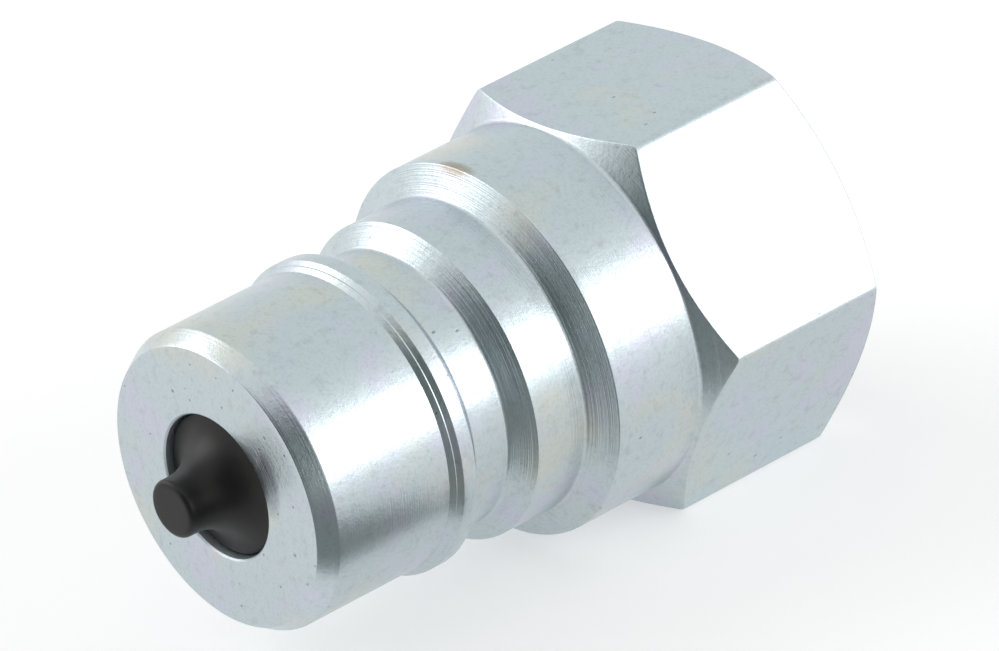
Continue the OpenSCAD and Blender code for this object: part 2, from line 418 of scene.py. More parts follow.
class Graph:
    """The node tree of a material or a world."""

    def __init__(self, name: str, world: bool = False) -> None:
        """Makes an empty tree with its output node.

        Args:
            name: The name of the material or world.
            world: Whether to make a world.
        """
        self.owner = (bpy.data.worlds if world else bpy.data.materials).new(name)
        self.owner.use_nodes = True
        self.tree = self.owner.node_tree
        self.tree.nodes.clear()
        kind = "ShaderNodeOutputWorld" if world else "ShaderNodeOutputMaterial"
        self.output = self.node(kind, {}, {})

    def close(self, shader: bpy.types.Node) -> Any:
        """Links the last shader to the output and gives the material or world."""
        self.tree.links.new(shader.outputs[0], self.output.inputs[0])
        return self.owner

    def seen(self) -> Value:
        """Whether a ray shows what it meets.

        Returns:
            1 for rays from the camera and in mirrors or glass, and 0 for the rest.
        """
        path = self.node("ShaderNodeLightPath", {}, {})
        names = ("Is Camera Ray", "Is Glossy Ray", "Is Transmission Ray")
        camera, glossy, clear = (Value(self, path.outputs[name]) for name in names)
        return camera.most(glossy).most(clear)

    def node(self, kind: str, settings: dict[str, Any], inputs: dict[Any, Any]) -> bpy.types.Node:
        """Adds a node.

        Args:
            kind: The node's type.
            settings: Its own settings, such as a Math node's operation. They are set
                before the inputs.
            inputs: Values, Values or sockets for its inputs, by name or number.

        Returns:
            The node.
        """
        node = self.tree.nodes.new(kind)
        for key, setting in settings.items():
            setattr(node, key, setting)
        for key, given in inputs.items():
            socket = node.inputs[key]
            if isinstance(given, Value):
                given = given.socket
            if isinstance(given, bpy.types.NodeSocket):
                self.tree.links.new(given, socket)
            else:
                socket.default_value = given
        return node

    def place(self) -> Value:
        """Object coordinates, in metres."""
        node = self.node("ShaderNodeTexCoord", {}, {})
        return Value(self, node.outputs["Object"])

    def parts(self, vector: Value) -> tuple[Value, Value, Value]:
        """The X, Y and Z of a vector."""
        node = self.node("ShaderNodeSeparateXYZ", {}, {0: vector})
        return tuple(Value(self, s) for s in node.outputs)

    def vector(self, x: Any, y: Any, z: Any) -> Value:
        """A vector of three values."""
        node = self.node("ShaderNodeCombineXYZ", {}, {0: x, 1: y, 2: z})
        return Value(self, node.outputs[0])

    def attribute(self, name: str) -> Value:
        """A value stored at the mesh's points."""
        node = self.node("ShaderNodeAttribute", {"attribute_name": name}, {})
        return Value(self, node.outputs["Fac"])

    def noise(self, vector: Value, scale: float, detail: float = 2.0, rough: float = 0.5) -> Value:
        """Soft noise from 0 to 1 with so many lumps a metre."""
        node = self.node(
            "ShaderNodeTexNoise",
            {"noise_dimensions": "3D"},
            {"Vector": vector, "Scale": scale, "Detail": detail, "Roughness": rough},
        )
        return Value(self, node.outputs["Fac"])

    def cells(self, vector: Value, scale: float) -> tuple[Value, Value]:
        """Scattered points.

        Args:
            vector: Where the surface is.
            scale: Number of points along a metre.

        Returns:
            Distance to the nearest point, and that point's random value.
        """
        node = self.node("ShaderNodeTexVoronoi", {}, {"Vector": vector, "Scale": scale})
        tone = self.node("ShaderNodeSeparateColor", {}, {0: node.outputs["Color"]})
        return Value(self, node.outputs["Distance"]), Value(self, tone.outputs[0])

    def spot(self, vector: Value, middle: Sequence[float], size: Sequence[float]) -> Value:
        """A soft patch.

        Args:
            vector: Where the surface is.
            middle: The patch's middle.
            size: How far it reaches along X, Y and Z.

        Returns:
            1 at the middle, and 0 from one size away on.
        """
        total: Any = 0.0
        for part, centre, reach in zip(self.parts(vector), middle, size):
            off = (part - centre) / reach
            total = off * off + total
        return 1 - total.climb(0.0, 1.0)

    def mix(self, share: Any, first: Any, second: Any) -> Value:
        """A colour between two, by share."""
        node = self.node(
            "ShaderNodeMix", {"data_type": "RGBA"}, {0: share, 6: first, 7: second}
        )
        return Value(self, node.outputs[2])

    def bump(self, height: Value, distance: float, strength: float) -> Value:
        """A normal bent by a height from 0 to 1 that stands for distance metres."""
        node = self.node(
            "ShaderNodeBump", {}, {"Height": height, "Distance": distance, "Strength": strength}
        )
        return Value(self, node.outputs[0])

    def principled(self, colour: Value, rough: Value, normal: Value, **more: float) -> Material:
        """Closes the tree with a Principled shader.

        Args:
            colour: Its base colour.
            rough: Its roughness.
            normal: Its normal.
            **more: Values of other inputs, each under its name with _ for a space.

        Returns:
            The material.
        """
        inputs = {"Base Color": colour, "Roughness": rough, "Normal": normal}
        inputs |= {name.replace("_", " "): value for name, value in more.items()}
        return self.close(self.node("ShaderNodeBsdfPrincipled", {}, inputs))


def rgb(red: float, green: float, blue: float) -> tuple[float, float, float, float]:
    """A colour for a socket."""
    return (red, green, blue, 1.0)


# Finishes


@dataclass(frozen=True)
class ZincSteel:
    """Turned steel with a clear zinc plating, satin on the flats of the bar."""

    base: Tone = (0.54, 0.615, 0.645)
    lilac: Tone = (0.57, 0.595, 0.68)
    straw: Tone = (0.61, 0.625, 0.56)
    groove: Tone = (0.30, 0.33, 0.34)
    soil: Tone = (0.10, 0.08, 0.06)
    brown: Tone = (0.33, 0.27, 0.19)
    # Colour of the patch of painted shade on the nose face.
    shadow: Tone = (0.20, 0.22, 0.26)
    pit_tone: Tone = (0.16, 0.16, 0.16)
    roughness: float = 0.25
    line_pitch: float = 0.11 * MM
    line_lean: float = 0.62
    tint_lumps: float = 260.0
    warm_lumps: float = 180.0
    speck_lumps: float = 5200.0
    grain_lumps: float = 1700.0
    mottle_lumps: float = 1500.0
    pit_cells: float = 520.0
    dust_cells: float = 1300.0
    stain_at: Tone = (19.1 * MM, 0.3 * MM, 10.8 * MM)
    stain_size: Tone = (0.6 * MM, 1.7 * MM, 0.9 * MM)
    # Place and size of a patch of painted shade on the nose face, at the bore's edge.
    painted_shade_at: Tone = (0.0, -4.7 * MM, 1.6 * MM)
    painted_shade_size: Tone = (0.5 * MM, 0.9 * MM, 2.4 * MM)
    relief: float = 0.008 * MM

    def material(self) -> Material:
        """The finish of the body.

        Returns:
            The material.
        """
        g = Graph("zinc_steel")
        place = g.place()
        lines = g.attribute("lines")
        flat = g.attribute("flat")
        inner = g.attribute("inner")
        x, y, z = g.parts(place)
        tint = g.noise(place, self.tint_lumps, 3.0)
        warm = g.noise(g.vector(x + 0.5, y, z), self.warm_lumps, 3.0)
        speck = g.noise(place, self.speck_lumps, 3.0, 0.6)
        grain = g.noise(place, self.grain_lumps, 4.0, 0.6)
        radius = (y * y + z * z) ** 0.5
        along = g.vector(x + radius * self.line_lean, 0.0, 0.0)
        turned = g.noise(along, 1.0 / self.line_pitch, 2.0, 0.7)
        turned = (turned - 0.5) * lines
        mottle = g.noise(place, self.mottle_lumps, 4.0, 0.65)
        distance, chance = g.cells(place, self.pit_cells)
        pit = (1 - distance.climb(0.02, 0.09)) * chance.climb(0.86, 0.88)
        near, luck = g.cells(g.vector(x * 0.6, y, z), self.dust_cells)
        dust = (1 - near.climb(0.03, 0.14)) * luck.climb(0.93, 0.94)
        patch = 0.4 + speck * 1.2
        stain = g.spot(place, self.stain_at, self.stain_size)
        # A soft patch of painted shade on the nose face, at the bore's edge.
        painted_shade = g.spot(place, self.painted_shade_at, self.painted_shade_size)
        colour: Any = rgb(*self.base)
        for share, tone in (
            (tint.climb(0.5, 0.68), self.lilac),
            (warm.climb(0.52, 0.72) * 0.7, self.straw),
            ((turned * 2.6).climb(0.05, 0.9) * 0.6, self.groove),
            (mottle.climb(0.5, 0.75) * 0.3, self.groove),
            (pit * 0.6, self.pit_tone),
            (dust * 0.7, self.soil),
            (speck.climb(0.45, 0.8) * 0.3, self.groove),
            ((stain * patch).least(1.0) * 0.75, self.brown),
            # The patch of painted shade, mixed in with the shadow tone.
            ((painted_shade * patch).least(1.0) * 0.6, self.shadow),
        ):
            colour = g.mix(share, colour, rgb(*tone))
        height = turned * 5.0 + speck * 1.0 + grain * 1.4 - pit * 1.5 - dust
        normal = g.bump(height, self.relief, 1.0)
        rough = self.roughness + grain * 0.12 + pit * 0.3 + flat * 0.05 + inner * 0.22
        return g.principled(colour, rough, normal, Metallic=1.0)


@dataclass(frozen=True)
class BlackPoppet:
    """Satin black poppet."""

    base: Tone = (0.009, 0.0085, 0.008)
    worn: Tone = (0.016, 0.015, 0.014)
    speck_lumps: float = 4200.0
    haze_lumps: float = 500.0
    relief: float = 0.004 * MM

    def material(self) -> Material:
        """The finish of the poppet.

        Returns:
            The material.
        """
        g = Graph("poppet_black")
        place = g.place()
        speck = g.noise(place, self.speck_lumps, 3.0, 0.6)
        haze = g.noise(place, self.haze_lumps, 2.0)
        colour = g.mix(haze.climb(0.4, 0.7), rgb(*self.base), rgb(*self.worn))
        normal = g.bump(speck, self.relief, 1.0)
        return g.principled(colour, 0.36 + haze * 0.14, normal, Specular_IOR_Level=0.3)


@dataclass(frozen=True)
class SealRubber:
    """Black seal rubber."""

    dark: float = 0.012
    light: float = 0.03
    speck_lumps: float = 3500.0
    relief: float = 0.006 * MM

    def material(self) -> Material:
        """The finish of the seal ring.

        Returns:
            The material.
        """
        g = Graph("seal_rubber")
        place = g.place()
        speck = g.noise(place, self.speck_lumps, 3.0, 0.6)
        dark, light = rgb(*[self.dark] * 3), rgb(*[self.light] * 3)
        colour = g.mix(speck, dark, light)
        normal = g.bump(speck, self.relief, 1.0)
        return g.principled(colour, 0.5 + speck * 0.2, normal)


@dataclass(frozen=True)
class DrawnWire:
    """Drawn stainless wire, with streaks along it."""

    name: str
    tone: float = 0.62
    streak_lumps: float = 9.0
    haze_lumps: float = 700.0
    relief: float = 0.004 * MM

    def material(self) -> Material:
        """The finish of a wire.

        Returns:
            The material.
        """
        g = Graph(self.name)
        along, around = g.attribute("along"), g.attribute("around")
        streak = g.noise(g.vector(along * 0.03, around, 0.0), self.streak_lumps, 3.0, 0.6)
        haze = g.noise(g.place(), self.haze_lumps, 2.0)
        low, high = self.tone * 0.85, self.tone * 1.1
        colour = g.mix(haze, rgb(low, low, low * 0.98), rgb(high, high, high * 0.97))
        normal = g.bump(streak, self.relief, 1.0)
        return g.principled(colour, 0.24 + streak * 0.14, normal, Metallic=1.0)


@dataclass(frozen=True)
class TurnedBrass:
    """Turned brass with fine rings."""

    deep: Tone = (0.72, 0.52, 0.24)
    bright: Tone = (0.84, 0.66, 0.34)
    ring_lumps: float = 9000.0
    haze_lumps: float = 420.0
    relief: float = 0.004 * MM

    def material(self) -> Material:
        """The finish of the valve guide.

        Returns:
            The material.
        """
        g = Graph("guide_brass")
        place = g.place()
        x, y, z = g.parts(place)
        radius = (y * y + z * z) ** 0.5
        rings = g.noise(g.vector(radius + x, 0.0, 0.0), self.ring_lumps, 2.0, 0.6)
        haze = g.noise(place, self.haze_lumps, 3.0)
        colour = g.mix(haze, rgb(*self.deep), rgb(*self.bright))
        normal = g.bump(rings, self.relief, 1.0)
        return g.principled(colour, 0.26 + haze * 0.14, normal, Metallic=1.0)


# Pieces

TURNED = ("lines", "flat", "inner")


@dataclass
class Housing:
    """The turned body, from the throat round the outside and back through the bore."""

    columns_a_side: int = 34
    pull: float = 0.75
    nose_r: float = 8.65 * MM
    nose_end: float = 8.76 * MM
    face_chamfer: tuple[float, float] = (1.07 * MM, 0.62 * MM)
    step: Tone = (0.28 * MM, 0.07 * MM, 0.22 * MM)
    ring_len: float = 0.9 * MM
    ring_back: float = 0.8 * MM
    neck_r: float = 8.03 * MM
    neck_len: float = 2.38 * MM
    cone_len: float = 1.1 * MM
    collar_r: float = 9.2 * MM
    collar_len: float = 3.46 * MM
    shoulder_len: float = 0.93 * MM
    barrel_drop: float = 0.2 * MM
    barrel_len: float = 5.8 * MM
    corner_round: float = 0.455 * MM
    front_slope: float = math.radians(35)
    back_slope: float = math.radians(30)
    end_drop: float = 0.3 * MM
    throat_r: float = 4.15 * MM
    throat_len: float = 1.3 * MM
    throat_break: float = 0.1 * MM
    chamber_r: float = 6.097 * MM
    guide_bore_r: float = 7.097 * MM
    guide_x: float = 18.0 * MM
    snap_r: float = 0.65 * MM
    snap_edge: float = 0.12
    thread_r: float = 7.475 * MM
    thread_root_r: float = 8.33 * MM
    thread_len: float = 12.0 * MM
    pitch: float = 1.337 * MM
    relief_r: float = 8.5 * MM
    relief_len: float = 2.0 * MM
    land: float = 1.6 * MM
    mouth_r: float = 8.6 * MM

    def __post_init__(self) -> None:
        """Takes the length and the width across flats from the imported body."""
        low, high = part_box("body")
        self.end_x = high.x
        self.flat_r = high.z
        self.barrel_r = self.flat_r - self.barrel_drop
        self.relief_x = self.end_x - self.thread_len - self.relief_len
        self.snap_x = self.relief_x - self.land - self.snap_r

    def angles(self) -> Array:
        """Columns round the axis, closer together at the hexagon's corners.

        A side's columns run from one corner to the next. Their share t of the side is
        pulled to both ends: t mixed by pull with 0.5 - 0.5 cos(pi t).

        Returns:
            The columns' angles.
        """
        share = np.arange(self.columns_a_side) / self.columns_a_side
        pulled = (1 - self.pull) * share + self.pull * (0.5 - 0.5 * np.cos(np.pi * share))
        side = (pulled * 60.0)[None, :] + np.arange(6)[:, None] * 60.0
        return np.radians(side.ravel())

    def hexagon(self, angles: Array) -> Array:
        """Radius of the rounded hexagon at each angle, a flat facing +Z.

        Along a flat it is flat_r / cos(turn from the flat's middle). Round a corner it is
        the far side of a circle of corner_round whose centre lies 2 / sqrt(3) times
        (flat_r - corner_round) out along the corner's direction.

        Args:
            angles: Where it is wanted.

        Returns:
            The radii.
        """
        turn = np.abs(np.mod(angles, np.radians(60.0)) - np.radians(30.0))
        flat = self.flat_r / np.cos(turn)
        centre = (self.flat_r - self.corner_round) * 2 / math.sqrt(3)
        lean = np.radians(30.0) - turn
        inside = np.maximum(self.corner_round**2 - (centre * np.sin(lean)) ** 2, 0.0)
        corner = centre * np.cos(lean) + np.sqrt(inside)
        touch = math.atan2((self.flat_r - self.corner_round) * math.tan(math.pi / 6), self.flat_r)
        return np.where(turn > touch, corner, flat)

    def outline(self, angles: Array) -> list[Corner]:
        """The outside, from the throat's mouth over the nose to the end.

        Args:
            angles: The columns.

        Returns:
            The outline's corners.
        """
        fine, plain = {"lines": 0.5}, {"lines": 0.25}
        coarse = {"lines": 1.0}
        step_len, land, rise = self.step
        hex_r = self.hexagon(angles)
        hex_x = self.stations()[-1]
        front_x = hex_x + (hex_r - self.barrel_r) * math.tan(self.front_slope)
        end_r = self.flat_r - self.end_drop
        back_x = self.end_x - (hex_r - end_r) * math.tan(self.back_slope)
        face_len, face_rise = self.face_chamfer
        land_x = self.nose_end + step_len
        step_x = land_x + land
        ring_x = step_x + step_len
        ring_r = self.nose_r + 2 * rise
        ring_end, neck_x, cone_x, collar_x, shoulder_x, barrel_x, _ = self.stations()
        edge = 0.12 * MM
        return [
            Corner(0.0, self.throat_r + self.throat_break, 0.03 * MM, 2, 10, plain),
            Corner(0.0, self.nose_r - face_rise, 0.1 * MM, 4, 4, plain),
            Corner(face_len, self.nose_r, 0.12 * MM, 4, 12, plain),
            Corner(self.nose_end, self.nose_r, 0.06 * MM, 3, 1, plain),
            Corner(land_x, self.nose_r + rise, 0.05 * MM, 3, 1, plain),
            Corner(step_x, self.nose_r + rise, 0.05 * MM, 3, 1, plain),
            Corner(ring_x, ring_r, 0.08 * MM, 3, 3, plain),
            Corner(ring_end, ring_r, edge, 4, 3, plain),
            Corner(neck_x, self.neck_r, 0.35 * MM, 6, 6, plain),
            Corner(cone_x, self.neck_r, 0.35 * MM, 6, 4, coarse),
            Corner(collar_x, self.collar_r, 0.08 * MM, 4, 8, fine),
            Corner(shoulder_x, self.collar_r, 0.45 * MM, 6, 4, coarse),
            Corner(barrel_x - edge / 2, self.barrel_r - edge, 0.06 * MM, 2, 1, fine),
            Corner(barrel_x, self.barrel_r, 0.06 * MM, 2, 10, fine),
            Corner(hex_x, self.barrel_r, 0.35 * MM, 6, 6, fine),
            Corner(front_x, hex_r, 0.12 * MM, 5, 14, {"flat": 1.0}),
            Corner(back_x, hex_r, 0.12 * MM, 5, 5, fine),
            Corner(self.end_x, end_r, 0.1 * MM, 4, 6, fine),
        ]

    def stations(self) -> tuple[float, ...]:
        """Where ring, slope, neck, cone, collar, shoulder and barrel end."""
        lengths = (
            2 * self.step[0] + self.step[1] + self.ring_len,
            self.ring_back,
            self.neck_len,
            self.cone_len,
            self.collar_len,
            self.shoulder_len,
            self.barrel_len,
        )
        return tuple(self.nose_end + float(s) for s in np.cumsum(lengths))

    def bore(self, angles: Array) -> list[Corner]:
        """The bore, from the port's mouth back to the throat.

        Args:
            angles: The columns.

        Returns:
            The outline's corners.
        """
        inner = {"lines": 0.4, "inner": 1.0}
        mouth_x = self.end_x - (self.mouth_r - self.thread_r)
        thread_x = self.end_x - self.thread_len
        rows = int(round((mouth_x - thread_x) / self.pitch * 10))
        corners = [Corner(self.end_x, self.mouth_r, 0.05 * MM, 2, 3, inner)]
        for k in range(rows + 1):
            at = mouth_x + (thread_x - mouth_x) * k / rows
            corners.append(Corner(at, self.thread(at, angles, mouth_x, thread_x), 0.0, 1, 1, inner))
        snap_run = math.sqrt(self.snap_r**2 - (0.05 * MM) ** 2)
        groove = [
            Corner(
                self.snap_x + self.snap_r * math.cos(turn),
                self.guide_bore_r + self.snap_r * math.sin(turn),
                0.0, 1, 1, inner,
            )
            for turn in np.linspace(self.snap_edge, math.pi - self.snap_edge, 9)
        ]
        corners += [
            Corner(thread_x, self.relief_r, 0.1 * MM, 2, 2, inner),
            Corner(self.relief_x, self.relief_r, 0.1 * MM, 2, 1, inner),
            Corner(self.relief_x, self.guide_bore_r, 0.06 * MM, 2, 2, inner),
            *groove,
            Corner(self.snap_x - snap_run - 0.1 * MM, self.guide_bore_r, 0.0, 1, 3, inner),
            Corner(self.guide_x, self.guide_bore_r, 0.1 * MM, 2, 1, inner),
            Corner(self.guide_x, self.chamber_r, 0.06 * MM, 2, 8, inner),
            Corner(
                self.throat_len + self.chamber_r - self.throat_r, self.chamber_r,
                0.1 * MM, 2, 3, inner,
            ),
            Corner(self.throat_len, self.throat_r, 0.05 * MM, 2, 3, inner),
            Corner(self.throat_break, self.throat_r, 0.03 * MM, 2, 1, inner),
        ]
        return corners

    def thread(self, x: float, angles: Array, mouth_x: float, foot_x: float) -> Array:
        """Radius of the port's thread.

        The phase is x / pitch less the turn. A triangle wave of the phase, stretched by
        1.5 about its middle, clamped and smoothed, runs from the crest to the root. It
        fades out over a third of a pitch at both ends.

        Args:
            x: The station.
            angles: The columns.
            mouth_x: Where the thread begins.
            foot_x: Where it ends.

        Returns:
            A radius for each column.
        """
        phase = np.mod(x / self.pitch - angles / (2 * math.pi), 1.0)
        wave = smoothstep(1.5 * (np.abs(2 * phase - 1) - 0.5) + 0.5, 0.0, 1.0)
        ends = smoothstep(np.array(mouth_x - x), 0.0, self.pitch / 3) * smoothstep(
            np.array(x - foot_x), 0.0, self.pitch / 3
        )
        return self.thread_r + (self.thread_root_r - self.thread_r) * wave * ends

    def build(self, material: Material) -> None:
        """Builds the body as one closed surface.

        Args:
            material: Its finish.
        """
        angles = self.angles()
        corners = self.outline(angles) + self.bore(angles)
        sweep = trace(corners, len(angles), TURNED)
        faces = grid_faces(*sweep.x.shape, close_rows=True)
        piece = Piece("body_shell", Ride.HOUSING, Slot.ZINC, "body")
        piece.build(turn_points(sweep, angles), [faces], sweep.values, material)


def turn_solid(sweep: Sweep, angles: Array) -> tuple[Array, list[Array]]:
    """A turned surface whose first and last rows lie on the axis, closed by fans.

    Args:
        sweep: The rows. Only one point of the first and of the last is used.
        angles: The columns.

    Returns:
        Points and faces.
    """
    rows, columns = sweep.x.shape
    skin = turn_points(sweep, angles).reshape(rows, columns, 3)
    points = np.concatenate([skin[1:-1].reshape(-1, 3), skin[0, :1], skin[-1, :1]])
    return points, capped_faces(rows - 2, columns)


@dataclass
class Poppet:
    """The poppet: pip, flare, lip, seal groove, flange, pilot, stop and stem."""

    columns: int = 160
    pip_r: float = 1.66 * MM
    pip_edge: float = 0.3 * MM
    straight: float = 0.8 * MM
    rim_x: float = 0.5 * MM
    rim_r: float = 4.03 * MM
    lip_x: float = 1.35 * MM
    groove_x: float = 1.97 * MM
    groove_end: float = 3.53 * MM
    groove_r: float = 3.72 * MM
    flange_x: float = 4.73 * MM
    flange_r: float = 4.897 * MM
    pilot_r: float = 3.2 * MM
    pilot_end: float = 6.03 * MM
    stop_r: float = 2.5 * MM
    stop_end: float = 13.1 * MM
    stem_r: float = 1.6 * MM
    edge: float = 0.08 * MM

    def outline(self) -> list[Corner]:
        """The outline from the pip's middle to the end of the stem.

        The flare is the arc that leaves the pip's side at flare_x and ends at the rim:
        its radius is (run^2 + rise^2) / (2 rise).

        Returns:
            The outline's corners.
        """
        low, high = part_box("poppet")
        front, back = low.x, high.x
        flare_x = front + self.straight
        run, rise = self.rim_x - flare_x, self.rim_r - self.pip_r
        flare_r = (run * run + rise * rise) / (2 * rise)
        turns = np.linspace(0.0, math.asin(run / flare_r), 24)
        flare = [
            Corner(flare_x + flare_r * math.sin(a), self.pip_r + flare_r * (1 - math.cos(a)))
            for a in turns[:-1]
        ]
        e = self.edge
        lip_r = self.rim_r + self.groove_x - self.lip_x
        return [
            Corner(front, 0.0, spans=5),
            Corner(front, self.pip_r, self.pip_edge, 6, 3),
            *flare,
            Corner(self.rim_x, self.rim_r, 0.05 * MM, 3, 2),
            Corner(self.lip_x, self.rim_r, e, 3, 2),
            Corner(self.groove_x, lip_r, e, 3, 2),
            Corner(self.groove_x, self.groove_r, e, 2, 3),
            Corner(self.groove_end, self.groove_r, e, 2, 2),
            Corner(self.groove_end, self.flange_r, e, 3, 2),
            Corner(self.flange_x, self.flange_r, e, 3, 2),
            Corner(self.flange_x, self.pilot_r, e, 2, 2),
            Corner(self.pilot_end, self.pilot_r, 2 * e, 3, 1),
            Corner(self.pilot_end, self.stop_r, e, 2, 4),
            Corner(self.stop_end, self.stop_r, 2 * e, 3, 1),
            Corner(self.stop_end, self.stem_r, e, 2, 6),
            Corner(back, self.stem_r, 0.3 * MM, 4, 2),
            Corner(back, 0.0),
        ]

    def build(self, material: Material) -> None:
        """Builds the poppet.

        Args:
            material: Its finish.
        """
        angles = full_turn(self.columns)
        sweep = trace(self.outline(), self.columns, (), closed=False)
        points, faces = turn_solid(sweep, angles)
        Piece("poppet_turned", Ride.VALVE, Slot.BLACK, "poppet").build(points, faces, {}, material)


@dataclass
class SealRing:
    """The moulded seal ring, with the fine ridge of its mould's parting."""

    rows: int = 48
    columns: int = 160
    ridge: float = 0.03 * MM
    ridge_turn: float = 0.12

    def build(self, material: Material) -> None:
        """Builds the ring.

        The wire's radius is w less the ridge, plus the ridge times exp(-(b / ridge_turn)^2),
        where b is the sine of the angle from the parting, inside and outside.

        Args:
            material: Its finish.
        """
        low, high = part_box("poppet_seal")
        wire_r = (high.x - low.x) / 2
        middle_x, middle_r = (high.x + low.x) / 2, high.z - wire_r
        turn = full_turn(self.rows)
        off = np.sin(turn) / self.ridge_turn
        radius = wire_r - self.ridge + self.ridge * np.exp(-(off**2))
        x = middle_x - radius * np.sin(turn)
        r = middle_r + radius * np.cos(turn)
        shape = (self.rows, self.columns)
        ring = Sweep(
            np.broadcast_to(x[:, None], shape), np.broadcast_to(r[:, None], shape), {}
        )
        angles = full_turn(self.columns)
        faces = grid_faces(*shape, close_rows=True)[:, ::-1]
        points = turn_points(ring, angles)
        Piece("seal_ring", Ride.VALVE, Slot.RUBBER, "poppet_seal").build(
            points, [faces], {}, material
        )


def wire_mesh(
    middle: Array, side: Array, over: Array, radius: float, around: int
) -> tuple[Array, list[Array], dict[str, Array]]:
    """A wire along a path, its ends rounded over.

    Each row is middle + radius (cos b side + sin b over). At both ends three more rows
    follow a quarter circle of radius / 3 inwards, and a fan closes each end.

    Args:
        middle: (rows, 3) points of the path.
        side: (rows, 3) first direction square to the path.
        over: (rows, 3) second direction square to the path.
        radius: The wire's radius.
        around: Number of points round the wire.

    Returns:
        Points, faces, and how far along and around each point is, in metres and turns.
    """
    along = np.cross(side, over)
    soft = radius / 3
    caps = np.linspace(0, math.pi / 2, 4)[:0:-1]
    first_r = radius - soft * (1 - np.cos(caps))
    first_x = soft * (1 - np.sin(caps))
    sign = 1.0 if np.dot(middle[1] - middle[0], along[0]) > 0 else -1.0
    head = middle[0] + sign * along[0] * (first_x[:, None] - soft)
    tail = middle[-1] - sign * along[-1] * (first_x[::-1, None] - soft)
    path = np.concatenate([head, middle, tail])
    size = np.concatenate([first_r, np.full(len(middle), radius), first_r[::-1]])
    n = len(caps)
    side = np.concatenate([np.repeat(side[:1], n, 0), side, np.repeat(side[-1:], n, 0)])
    over = np.concatenate([np.repeat(over[:1], n, 0), over, np.repeat(over[-1:], n, 0)])
    turn = full_turn(around)
    ring = np.cos(turn)[None, :, None] * side[:, None] + np.sin(turn)[None, :, None] * over[:, None]
    skin = path[:, None] + size[:, None, None] * ring
    rows = len(path)
    points = np.concatenate([skin.reshape(-1, 3), path[:1], path[-1:]])
    faces = capped_faces(rows, around)
    if sign < 0:
        faces = [f[:, ::-1] for f in faces]
    length = np.concatenate([[0], np.cumsum(np.linalg.norm(np.diff(path, axis=0), axis=-1))])
    values = {
        "along": np.concatenate([np.repeat(length, around), length[:1], length[-1:]]),
        "around": np.concatenate([np.tile(turn, rows), [0.0, 0.0]]),
    }
    return points, faces, values


def wire_sides(angle: Array) -> tuple[Array, Array]:
    """Directions square to a coil's wire at each angle: outwards, and along the axis."""
    out = np.stack([np.zeros_like(angle), np.cos(angle), np.sin(angle)], -1)
    return out, np.broadcast_to([1.0, 0.0, 0.0], out.shape)


@dataclass
class Spring:
    """The valve's spring: five working turns and a closed turn at each end."""

    wire_d: float = 0.9 * MM
    coils: int = 5
    steps: int = 72
    around: int = 20
    coil_gap: float = 0.03 * MM
    joint: str = "poppet_slide"
    travel: float = 3.6 * MM

    def build(self, material: Material) -> None:
        """Builds the spring on a mesh of its own.

        The wire's middle lies at (x(t), R cos 2 pi t, R sin 2 pi t) for t turns. x climbs
        by the closed pitch in the first and the last turn, and evenly between them.

        Args:
            material: Its finish.
        """
        low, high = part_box("valve_spring")
        wire_r = self.wire_d / 2
        coil_r = high.z - wire_r
        first, last = low.x + wire_r, high.x - wire_r
        closed = 2 * wire_r + self.coil_gap
        turns = self.coils + 2
        t = np.linspace(0, turns, turns * self.steps + 1)
        x = np.interp(t, [0, 1, turns - 1, turns], [first, first + closed, last - closed, last])
        out, axis = wire_sides(2 * math.pi * t)
        middle = coil_r * out + x[:, None] * axis
        points, faces, values = wire_mesh(middle, out, axis, wire_r, self.around)
        obj = Piece("coil_spring", Ride.HOUSING, Slot.WIRE, "valve_spring").build(
            points, faces, values, material
        )
        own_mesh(obj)


@dataclass
class SnapRing:
    """The round wire ring that holds the guide in the body."""

    gap: float = math.radians(40)
    rows: int = 220
    around: int = 24

    def build(self, material: Material) -> None:
        """Builds the ring: its wire's middle runs from half the gap to a turn less it.

        Args:
            material: Its finish.
        """
        low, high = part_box("snap_ring")
        wire_r = (high.x - low.x) / 2
        ring_r = high.z - wire_r
        angle = np.linspace(self.gap / 2, 2 * math.pi - self.gap / 2, self.rows)
        out, axis = wire_sides(angle)
        middle = ring_r * out + (low.x + high.x) / 2 * axis
        points, faces, values = wire_mesh(middle, out, axis, wire_r, self.around)
        Piece("wire_ring", Ride.HOUSING, Slot.WIRE, "snap_ring").build(
            points, faces, values, material
        )


@dataclass
class Guide:
    """The brass guide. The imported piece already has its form."""

    node: str = "valve_guide"

    def build(self, material: Material) -> None:
        """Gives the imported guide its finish.

        Args:
            material: Its finish.
        """
        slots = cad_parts[self.node].data.materials
        slots.clear()
        slots.append(material)
        LOG.info("%s: finish only", self.node)


# Camera, floor and light


